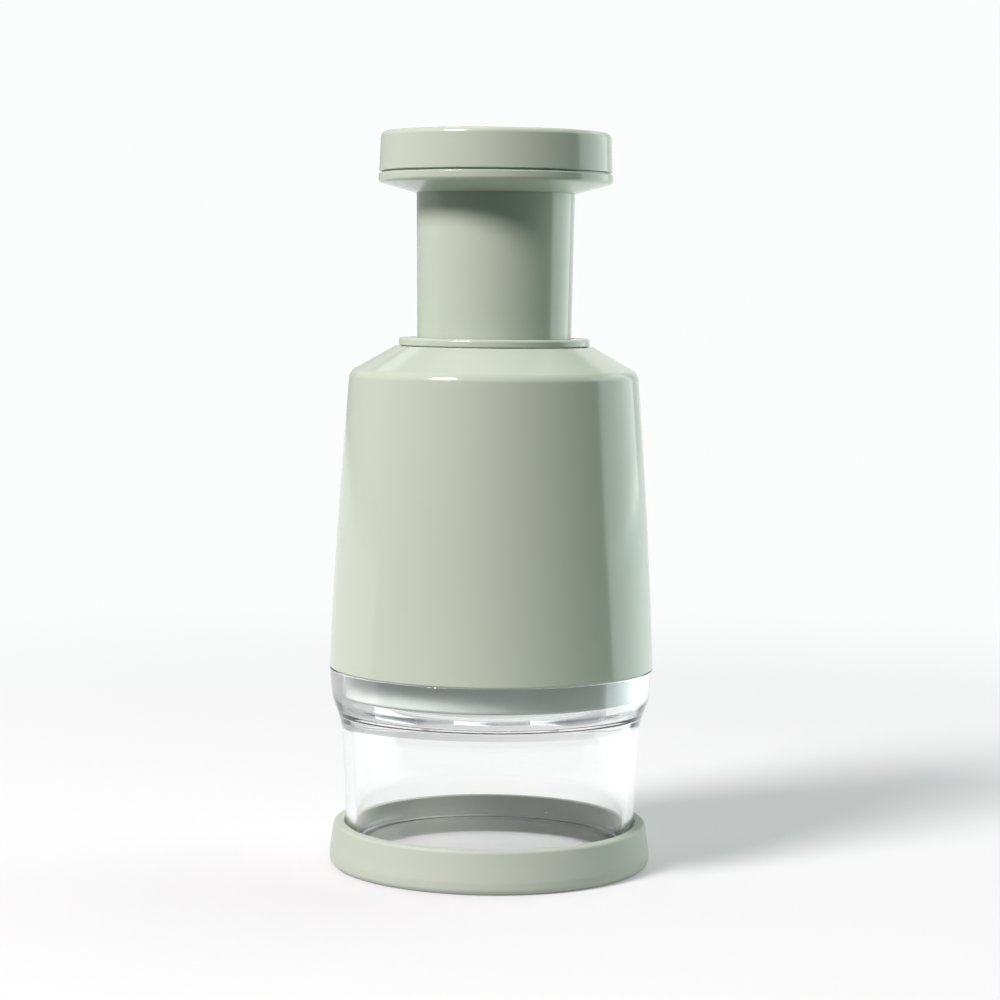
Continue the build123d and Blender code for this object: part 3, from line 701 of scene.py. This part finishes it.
class CHOPPER_OT_collar(bpy.types.Operator):
    """Collar in the casing's neck that the sleeve slides through"""

    bl_idname = "chopper.collar"
    bl_label = "Neck collar"

    def execute(self, context):
        sizes = context.scene.chopper_sizes
        outer = sizes.collar_radius / MM
        foot, top = heights("neck_collar")
        seat = heights("outer_casing")[1]
        bore, barrel = outer - 4.85, outer - 2.45
        bm = profile(
            [
                (bore, foot, 0.3),
                (barrel, foot, 0.3),
                (barrel, seat),
                (outer, seat, 0.45),
                (outer, top, 0.9),
                (bore, top, 0.45),
            ]
        )
        turn(bm, sizes.turn_steps)
        add_piece(bm, "sliding_collar", "housing", "gloss_sage", "neck_collar")
        return {"FINISHED"}


class CHOPPER_OT_skirt(bpy.types.Operator):
    """Pale skirt that reaches from the casing into the cup's mouth"""

    bl_idname = "chopper.skirt"
    bl_label = "Skirt"

    def execute(self, context):
        sizes = context.scene.chopper_sizes
        outer = sizes.skirt_radius / MM
        foot, top = heights("lower_skirt")
        seat = heights("outer_casing")[0]
        wiper = heights("wiper_plate")[0]
        inside, stop = outer - 2.8, outer - 5.4
        bm = profile(
            [
                (inside, top, 0.4),
                (outer + 1.6, top, 0.4),
                (outer + 2.15, seat, 0.2),
                (outer, seat, 0.3),
                (outer, foot, 1.1),
                (stop, foot, 0.4),
                (stop, wiper, 0.2),
                (inside, wiper, 0.2),
            ]
        )
        turn(bm, sizes.turn_steps)
        add_piece(bm, "mouth_skirt", "housing", "pale_sage", "lower_skirt")
        return {"FINISHED"}


class CHOPPER_OT_sleeve(bpy.types.Operator):
    """Tapered plunger sleeve with a seat for its stop ring and three screw bosses inside"""

    bl_idname = "chopper.sleeve"
    bl_label = "Plunger sleeve"

    def execute(self, context):
        sizes = context.scene.chopper_sizes
        outer, wall, taper = sizes.sleeve_radius / MM, 2.3, 0.7
        seat_step, boss_radius, boss_length, boss_room = 0.9, 3.1, 12.0, 0.02
        foot, top = heights("plunger_sleeve")
        seat = heights("sleeve_stop_ring")[1]
        at_seat = outer - taper * (top - seat) / (top - foot)
        bm = profile(
            [
                (outer - taper - wall, foot, 0.3),
                (outer - taper - seat_step, foot, 0.3),
                (outer - taper - seat_step, seat),
                (at_seat, seat, 0.25),
                (outer, top, 0.1),
                (outer - wall, top, 0.2),
            ]
        )
        turn(bm, sizes.turn_steps)
        for centre in around(screw_pitch("knob_screws")):
            join(bm, tube(SCREW_BORE, boss_radius, top - boss_length, top - boss_room, centre))
        add_piece(bm, "tapered_sleeve", "plunger", "gloss_sage", "plunger_sleeve")
        return {"FINISHED"}


class CHOPPER_OT_knob(bpy.types.Operator):
    """Knob: flared flange and the cap above its dark seam"""

    bl_idname = "chopper.knob"
    bl_label = "Knob"

    def execute(self, context):
        sizes = context.scene.chopper_sizes
        outer = sizes.knob_radius / MM
        neck = sizes.sleeve_radius / MM
        foot, spigot_top = heights("knob_base")
        cap_foot, cap_top = heights("knob_cap")
        bore, recess, deck_thickness = 4.1, 15.2, 3.47
        spigot_inset, spigot_wall, spigot_room = 2.8, 2.0, 0.15
        cap_inset, cap_thickness, cap_room = 0.2, 2.6, 0.1
        rim, rim_top, deck = foot + 3.25, foot + 6.05, foot + 1.73
        floor = deck + deck_thickness
        spigot = outer - spigot_inset
        seat = outer - sizes.seam_depth / MM
        bm = profile(
            [
                (bore, deck, 0.2),
                (recess, deck),
                (recess, foot),
                (neck, foot, 0.1),
                (outer, rim, 1.2),
                (outer, rim_top, 0.4),
                (seat, rim_top),
                (seat, cap_foot - cap_room),
                (spigot, cap_foot - cap_room),
                (spigot, spigot_top, 0.3),
                (spigot - spigot_wall, spigot_top, 0.3),
                (spigot - spigot_wall, floor, 0.5),
                (bore, floor, 0.2),
            ]
        )
        turn(bm, sizes.turn_steps)
        add_piece(bm, "knob_flange", "plunger", "gloss_sage", "knob_base")
        cap, hollow, sleeve = outer - cap_inset, spigot - 1.4, spigot + spigot_room
        ceiling = cap_top - cap_thickness
        bm = profile(
            [
                (0.0, ceiling),
                (hollow, ceiling, 0.8),
                (hollow, spigot_top),
                (sleeve, spigot_top),
                (sleeve, cap_foot, 0.2),
                (cap, cap_foot, 0.4),
                (cap - sizes.knob_draft / MM, cap_top, sizes.knob_round / MM),
                (0.0, cap_top),
            ],
            closed=False,
        )
        turn(bm, sizes.turn_steps)
        add_piece(bm, "knob_cap_disc", "plunger", "gloss_sage", "knob_cap")
        return {"FINISHED"}


def fold_loop(bm, sizes, width, height, overrun=0.0):
    """Closed wire round the folded strip at one height, its folds bent round; returns its edges."""
    reach, swing, folds, bend_steps = sizes.blade_reach, sizes.blade_swing, 6, 6
    step = 2 * reach / folds
    slope = 2 * swing / step
    line = [[-reach + i * step, swing if i % 2 else -swing] for i in range(folds + 1)]
    line[0] = [-reach - overrun, -swing - slope * overrun]
    line[-1] = [reach + overrun, -swing - slope * overrun]
    shift = width / 2 * math.hypot(1, slope)
    sides = [[bm.verts.new((x, y + up * shift, height)) for x, y in line] for up in (1, -1)]
    loop = sides[0] + sides[1][::-1]
    for pair in zip(loop, loop[1:] + loop[:1]):
        bm.edges.new(pair)
    for up, side in zip((1, -1), sides):
        for i, vert in enumerate(side[1:-1], 1):
            outside = up if i % 2 else -up
            bend = sizes.blade_bend + outside * width / 2
            bmesh.ops.bevel(
                bm,
                geom=[vert],
                offset=bend * slope,
                offset_type="OFFSET",
                segments=bend_steps,
                profile=0.5,
                affect="VERTICES",
                material=-1,
            )
    return [e for e in bm.edges if all(abs(v.co.z - height) < 1e-7 for v in e.verts)]


class CHOPPER_OT_blade(bpy.types.Operator):
    """Folded zigzag blade with a ground edge, and the wiper plate that it slides through"""

    bl_idname = "chopper.blade"
    bl_label = "Blade and wiper"

    def execute(self, context):
        sizes = context.scene.chopper_sizes
        thickness, edge_width = sizes.blade_thickness, 0.15 * MM
        slot_room, slot_overrun, softening, rim_steps = 0.6 * MM, 0.3 * MM, 0.25 * MM, 192
        low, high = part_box("zigzag_blade")
        bm = bmesh.new()
        rings = [
            fold_loop(bm, sizes, edge_width, low.z),
            fold_loop(bm, sizes, thickness, low.z + GROUND_EDGE),
            fold_loop(bm, sizes, thickness, high.z),
        ]
        for lower, upper in zip(rings, rings[1:]):
            bmesh.ops.bridge_loops(bm, edges=lower + upper)
        bmesh.ops.holes_fill(bm, edges=bm.edges, sides=0)
        clean(bm)
        add_piece(bm, "folded_blade", "blade_head", "blade_steel", "zigzag_blade")

        low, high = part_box("wiper_plate")
        bm = bmesh.new()
        place = Matrix.Translation((0, 0, low.z))
        rim = bmesh.ops.create_circle(bm, segments=rim_steps, radius=high.x, matrix=place)
        slot = fold_loop(bm, sizes, thickness + slot_room, low.z, slot_overrun)
        outline = {e for v in rim["verts"] for e in v.link_edges} | set(slot)
        bmesh.ops.triangle_fill(bm, edges=list(outline), use_beauty=True)
        body = bmesh.ops.extrude_face_region(bm, geom=bm.faces[:])
        lifted = [v for v in body["geom"] if isinstance(v, bmesh.types.BMVert)]
        bmesh.ops.translate(bm, verts=lifted, vec=(0, 0, high.z - low.z))
        clean(bm)
        edges = [e for e in bm.edges if not e.smooth and abs(e.verts[0].co.z - e.verts[1].co.z) < 1e-6]
        bmesh.ops.bevel(
            bm,
            geom=edges,
            offset=softening,
            offset_type="OFFSET",
            segments=2,
            profile=0.5,
            affect="EDGES",
            material=-1,
        )
        clean(bm)
        add_piece(bm, "slotted_wiper", "wiper", "wiper_plastic", "wiper_plate")
        return {"FINISHED"}


class CHOPPER_OT_spring(bpy.types.Operator):
    """Return spring with closed end turns"""

    bl_idname = "chopper.spring"
    bl_label = "Return spring"

    def execute(self, context):
        sizes = context.scene.chopper_sizes
        low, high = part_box("return_spring")
        wire = sizes.wire_radius
        middle = high.x - wire
        per_turn, wire_sides, end_pitch = 40, 12, 1.04
        close = 2 * wire * end_pitch
        open_pitch = (high.z - low.z - 2 * wire - 2 * close) / sizes.spring_turns
        bm = bmesh.new()
        place = Matrix.Translation((middle, 0, low.z + wire)) @ Matrix.Rotation(math.radians(90), 4, "X")
        bmesh.ops.create_circle(bm, segments=wire_sides, radius=wire, matrix=place)
        last = bm.verts[:] + bm.edges[:]
        for pitch, turns in ((close, 1), (open_pitch, sizes.spring_turns), (close, 1)):
            coil = bmesh.ops.spin(
                bm,
                geom=last,
                cent=(0, 0, 0),
                axis=(0, 0, 1),
                angle=math.tau * turns,
                steps=per_turn * turns,
                dvec=(0, 0, pitch / per_turn),
            )
            last = coil["geom_last"]
        bmesh.ops.holes_fill(bm, edges=bm.edges, sides=0)
        clean(bm)
        spring = add_piece(bm, "coiled_spring", "housing", "spring_steel", "return_spring")
        travel = next(j for j in frame["joints"] if j["name"] == "plunger_press")["range_m"][1]
        tall = high.z - low.z
        (tall - travel) / tall
        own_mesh(spring)
        return {"FINISHED"}


class CHOPPER_OT_inner_parts(bpy.types.Operator):
    """Finishes of the CAD parts that keep their own shape"""

    bl_idname = "chopper.inner_parts"
    bl_label = "Inner parts"

    def execute(self, context):
        slots = {part["node"]: part["material_slot"] for part in frame["record"]["subparts"]}
        for name, node in frame["nodes"].items():
            if not node.hide_render:
                for place in node.material_slots:
                    place.material = finish(slots[name])
        return {"FINISHED"}


BORDER_LEAN, BORDER_BLUR = 0.05, 0.03  # of the line between the white behind and the dark room
FLOOR_SPANS = {  # distances from the axis over which the floor changes, in metres
    "seen": (0.3, 0.7),  # from paper to surround, for the camera
    "clear": (0.05, 0.2),  # from paper to surround, in mirrors and clear walls
    "room": (0.28, 0.36),  # from surround to the dark room in front, in mirrors and clear walls
    "front": (0.08, 0.28),  # from paper to the dark room in front, as the floor lights the object
    # panel: where the glowing floor patch, painted light for the object's right side, fades in.
    "panel": (0.1, 0.3),  # to the floor under the rim lamp
}
SEEN_SURROUND, CLEAR_SURROUND = 0.25, 0.45  # share of the surround on the floor at the object
FILL_LAMPS = {  # azimuth to the left of the camera and elevation in degrees, width in metres
    "top": (180.0, 75.0, 2.25),
    "rim": (-116.0, 12.0, 3.0),
    "kicker": (162.5, 34.0, 0.5),
}


def behind(nodes, where):
    """1 for places or directions behind the object, 0 in front; on the right the border leans back."""
    x, y = nodes.part(where, "X"), nodes.part(where, "Y")
    return (y - x.at_least(0.0) * BORDER_LEAN).between(-BORDER_BLUR, BORDER_BLUR)


def floor_material(studio):
    """White floor that keeps the shadow, fades into the surround and ends in front in the dark room; behind on the
    right a patch of it glows, as painted light on the object that the camera doesn't see.
    """
    floor_glow_lean, floor_glow_edge = 0.7, (-0.45, 0.6)
    material = bpy.data.materials.new("studio_floor")
    nodes = Nodes(material)
    where = nodes.add("ShaderNodeTexCoord", output="Object")
    away = nodes.add("ShaderNodeVectorMath", {"operation": "LENGTH"}, {0: where}, "Value")
    paper, bounce, front = (
        nodes.add("ShaderNodeBsdfDiffuse", {}, {"Color": shade(tint, 1.0)})
        for tint in (studio.floor_colour, studio.bounce_colour, studio.front_colour)
    )
    # panel is an emission on the floor: painted light that stands in for floor lit under the rim lamp, seen only
    # by rays that light the object or mirror in it.
    room, surround, panel = (
        nodes.add("ShaderNodeEmission", {}, {"Color": shade(tint, 1.0), "Strength": strength})
        for tint, strength in (
            (studio.room_colour, 1.0),
            (studio.surround, 1.0),
            (studio.fill_colour, studio.panel_strength),
        )
    )
    spans = {name: away.between(*span) for name, span in FLOOR_SPANS.items()}
    back = behind(nodes, where)
    towards_rim = (nodes.part(where, "X") - nodes.part(where, "Y") * floor_glow_lean) / away
    under_rim = back * spans["panel"] * towards_rim.between(*floor_glow_edge)
    seen = nodes.mix(SEEN_SURROUND + (1.0 - SEEN_SURROUND) * spans["seen"], paper, surround)
    clear = nodes.mix(CLEAR_SURROUND + (1.0 - CLEAR_SURROUND) * spans["clear"], paper, surround)
    mirrored = nodes.mix((1.0 - back) * spans["room"], nodes.mix(under_rim, clear, panel), room)
    ahead = nodes.mix(spans["front"], front, room)
    lit = nodes.mix(back, ahead, nodes.mix(under_rim, bounce, panel))
    nodes.surface(nodes.mix(nodes.ray("Camera"), nodes.mix(nodes.mirror_ray(), lit, mirrored), seen))
    return material


def studio_world(studio):
    """White surround behind the object, dimmer on the left, and a dark room in front of it.

    Mirrors and clear walls also show the room overhead, and the camera sees white only.
    """
    dim_left, side_blur, overhead, overhead_rise = 0.45, 0.3, (0.5, 0.6), 0.14
    world = bpy.data.worlds.new("studio")
    bpy.context.scene.world = world
    nodes = Nodes(world)
    where = nodes.add("ShaderNodeTexCoord", output="Generated")
    room, surround, white, dim = (
        nodes.add("ShaderNodeBackground", {}, {"Color": shade(tint, 1.0), "Strength": strength})
        for tint, strength in (
            (studio.room_colour, 1.0),
            (studio.surround, 1.0),
            ((1, 1, 1), 1.0),
            ((1, 1, 1), dim_left),
        )
    )
    right = nodes.part(where, "X").between(-side_blur, side_blur)
    above = (nodes.part(where, "Z") + overhead_rise * (1.0 - right)).between(*overhead)
    back = behind(nodes, where)
    backdrop = nodes.mix(right, dim, white)
    mirrored = nodes.mix(back * (1.0 - above), room, backdrop)
    lit = nodes.mix(back, room, backdrop)
    shader = nodes.mix(nodes.ray("Camera"), nodes.mix(nodes.mirror_ray(), lit, mirrored), surround)
    nodes.add("ShaderNodeOutputWorld", {}, {"Surface": shader})


def soft_box(name, azimuth, elevation, size, watts, tint, shape="SQUARE"):
    """Soft box that faces the object, at an azimuth to the left of the camera."""
    target = Vector((0.0, 0.0, 0.1))
    lamp = bpy.data.lights.new(name, "AREA")
    lamp.shape = shape
    lamp.size = size
    lamp.energy = watts
    lamp.color = tint
    box = bpy.data.objects.new(name, lamp)
    bpy.context.scene.collection.objects.link(box)
    level = math.cos(elevation)
    side = Vector((-math.sin(azimuth) * level, -math.cos(azimuth) * level, math.sin(elevation)))
    box.location = target + side * bpy.context.scene.chopper_studio.lamp_distance
    box.rotation_euler = (-side).to_track_quat("-Z", "Y").to_euler()
    box.visible_camera = False


class CHOPPER_OT_stage(bpy.types.Operator):
    """Pale floor, white surround, lamps and the camera"""

    bl_idname = "chopper.stage"
    bl_label = "Stage"

    def execute(self, context):
        scene = context.scene
        studio = scene.chopper_studio
        scene.view_settings.view_transform = "Standard"

        bm = bmesh.new()
        bmesh.ops.create_grid(bm, x_segments=8, y_segments=8, size=4.0)
        mesh = bpy.data.meshes.new("floor")
        bm.to_mesh(mesh)
        bm.free()
        mesh.materials.append(floor_material(studio))
        floor = bpy.data.objects.new("floor", mesh)
        scene.collection.objects.link(floor)
        studio_world(studio)

        soft_box(
            "key",
            studio.key_azimuth,
            studio.key_elevation,
            studio.key_size,
            studio.key_power,
            studio.key_colour,
            "DISK",
        )
        for name, (azimuth, elevation, width) in FILL_LAMPS.items():
            watts = getattr(studio, name + "_power")
            place = math.radians(azimuth), math.radians(elevation)
            soft_box(name, *place, width, watts, studio.fill_colour)

        eye = bpy.data.cameras.new("camera")
        eye.lens = studio.lens
        eye.sensor_width = 36.0
        camera = bpy.data.objects.new("camera", eye)
        scene.collection.objects.link(camera)
        tilt = Euler((math.radians(90) - studio.pitch, 0.0, 0.0)).to_matrix().to_4x4()
        spot = Matrix.Translation((studio.aside, -studio.back, studio.eye))
        camera.matrix_world = spot @ tilt @ Matrix.Rotation(studio.roll, 4, "Z")
        scene.camera = camera
        return {"FINISHED"}


class CHOPPER_PT_panel(bpy.types.Panel):
    """Sidebar list of the chopper's pieces"""

    bl_idname = "CHOPPER_PT_panel"
    bl_label = "Food Chopper"
    bl_space_type = "VIEW_3D"
    bl_region_type = "UI"
    bl_category = "Chopper"

    def draw(self, context):
        for operator in OPERATORS:
            self.layout.operator(operator.bl_idname)
        for group in ("chopper_sizes", "chopper_colours", "chopper_studio"):
            box = self.layout.box()
            settings = getattr(context.scene, group)
            for name in settings.__annotations__:
                box.prop(settings, name)


OPERATORS = (
    CHOPPER_OT_base_ring,
    CHOPPER_OT_cup,
    CHOPPER_OT_casing,
    CHOPPER_OT_collar,
    CHOPPER_OT_skirt,
    CHOPPER_OT_sleeve,
    CHOPPER_OT_knob,
    CHOPPER_OT_blade,
    CHOPPER_OT_spring,
    CHOPPER_OT_inner_parts,
    CHOPPER_OT_stage,
)
GROUPS = {"chopper_sizes": ChopperSizes, "chopper_colours": ChopperColours, "chopper_studio": ChopperStudio}


def register():
    for name, group in GROUPS.items():
        bpy.utils.register_class(group)
        setattr(bpy.types.Scene, name, PointerProperty(type=group))
    for operator in OPERATORS:
        bpy.utils.register_class(operator)
    bpy.utils.register_class(CHOPPER_PT_panel)


def unregister():
    bpy.utils.unregister_class(CHOPPER_PT_panel)
    for operator in reversed(OPERATORS):
        bpy.utils.unregister_class(operator)
    for name, group in reversed(GROUPS.items()):
        delattr(bpy.types.Scene, name)
        bpy.utils.unregister_class(group)


def main():
    register()
    for operator in OPERATORS:
        group, name = operator.bl_idname.split(".")
        getattr(getattr(bpy.ops, group), name)()


if __name__ == "__main__":
    main()
